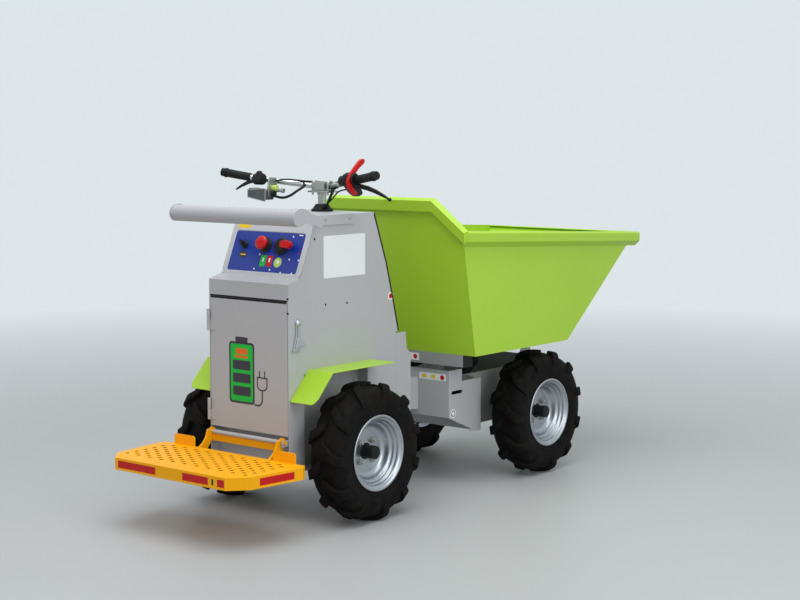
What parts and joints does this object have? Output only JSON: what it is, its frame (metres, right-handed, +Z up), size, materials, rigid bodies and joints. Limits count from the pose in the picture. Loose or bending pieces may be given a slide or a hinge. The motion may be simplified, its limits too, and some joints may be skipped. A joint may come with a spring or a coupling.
{
  "type": "site dumper",
  "caption": "Battery mini dumper: articulated four-wheel drive frame, stand-on platform, handlebar tower and a forward-tipping skip.",
  "frame": {"origin": "centre of the overall box, on the ground", "axes": "+X the way it drives, +Y its left, +Z up"},
  "size_m": [2.456, 0.8452, 1.3443],
  "materials": {
    "housing_grey": "satin light grey paint",
    "console_grey": "light grey moulded bezel",
    "skip_lime": "lime green gloss paint",
    "platform_yellow": "orange-yellow gloss paint",
    "tyre_rubber": "black lugged rubber",
    "rim_silver": "silver paint",
    "hub_black": "black hub and cap",
    "axle_black": "black painted housing",
    "zinc": "zinc plated",
    "chrome": "hard chrome",
    "rubber_black": "black rubber",
    "plastic_black": "black plastic",
    "battery_grey": "dark battery case"
  },
  "bodies": {
    "rear_body": {"rear_chassis": "housing_grey", "tower_shell": "housing_grey", "top_cover": "housing_grey", "console": "console_grey", "guard_bar": "housing_grey", "fender_left": "skip_lime", "fender_right": "skip_lime", "rear_transaxle": "axle_black", "battery_pack": "battery_grey", "steering_boot": "rubber_black", "side_latch": "zinc"},
    "door": {"door": "housing_grey"},
    "platform": {"platform": "platform_yellow"},
    "handlebar": {"steering_stem": "zinc", "handlebar": "chrome", "grip_left": "rubber_black", "grip_right": "rubber_black", "lever_left": "plastic_black", "lever_right": "plastic_black", "throttle": "plastic_black", "control_box": "housing_grey"},
    "front_frame": {"front_chassis": "housing_grey", "cross_beam": "housing_grey", "front_transaxle": "axle_black", "tip_pin": "zinc"},
    "skip": {"skip_shell": "skip_lime", "skip_underframe": "axle_black"},
    "ram_barrel": {"ram_barrel": "axle_black"},
    "ram_rod": {"ram_rod": "chrome"},
    "wheel_rear_left": {"tyre_rear_left": "tyre_rubber", "rim_rear_left": "rim_silver", "hub_rear_left": "hub_black"},
    "wheel_rear_right": {"tyre_rear_right": "tyre_rubber", "rim_rear_right": "rim_silver", "hub_rear_right": "hub_black"},
    "wheel_front_left": {"tyre_front_left": "tyre_rubber", "rim_front_left": "rim_silver", "hub_front_left": "hub_black"},
    "wheel_front_right": {"tyre_front_right": "tyre_rubber", "rim_front_right": "rim_silver", "hub_front_right": "hub_black"}
  },
  "joints": [
    {"name": "articulation_steer", "type": "hinge", "parent": "rear_body", "child": "front_frame", "pos_m": [-0.039, 0, 0.365], "axis": [0, 0, 1], "range_deg": [-30, 30]},
    {"name": "handlebar_turn", "type": "hinge", "parent": "rear_body", "child": "handlebar", "pos_m": [-0.42, 0, 1.2], "axis": [0, 0, 1], "range_deg": [-30, 30]},
    {"name": "skip_tip", "type": "hinge", "parent": "front_frame", "child": "skip", "pos_m": [0.735, 0, 0.505], "axis": [0, 1, 0], "range_deg": [0, 75]},
    {"name": "ram_swing", "type": "hinge", "parent": "front_frame", "child": "ram_barrel", "pos_m": [0.295, 0, 0.26], "axis": [0, 1, 0], "range_deg": [-6, 0]},
    {"name": "ram_extend", "type": "slide", "parent": "ram_barrel", "child": "ram_rod", "axis": [0.8, 0, 0.6], "range_m": [0, 0.145]},
    {"name": "door_hinge", "type": "hinge", "parent": "rear_body", "child": "door", "pos_m": [-0.834, 0.199, 0.57], "axis": [0, 0, 1], "range_deg": [-110, 0]},
    {"name": "platform_fold", "type": "hinge", "parent": "rear_body", "child": "platform", "pos_m": [-0.841, 0, 0.308], "axis": [0, 1, 0], "range_deg": [0, 90]},
    {"name": "roll_rear_left", "type": "hinge", "parent": "rear_body", "child": "wheel_rear_left", "pos_m": [-0.565, 0.335, 0.255], "axis": [0, 1, 0], "continuous": true},
    {"name": "roll_rear_right", "type": "hinge", "parent": "rear_body", "child": "wheel_rear_right", "pos_m": [-0.565, -0.335, 0.255], "axis": [0, 1, 0], "continuous": true},
    {"name": "roll_front_left", "type": "hinge", "parent": "front_frame", "child": "wheel_front_left", "pos_m": [0.541, 0.335, 0.255], "axis": [0, 1, 0], "continuous": true},
    {"name": "roll_front_right", "type": "hinge", "parent": "front_frame", "child": "wheel_front_right", "pos_m": [0.541, -0.335, 0.255], "axis": [0, 1, 0], "continuous": true}
  ],
  "couplings": [
    {"joint": "handlebar_turn", "follows": "articulation_steer", "ratio": 1},
    {"joint": "ram_swing", "follows": "skip_tip", "ratio": -0.06394},
    {"joint": "ram_extend", "follows": "skip_tip", "m_per_rad": 0.10768}
  ]
}
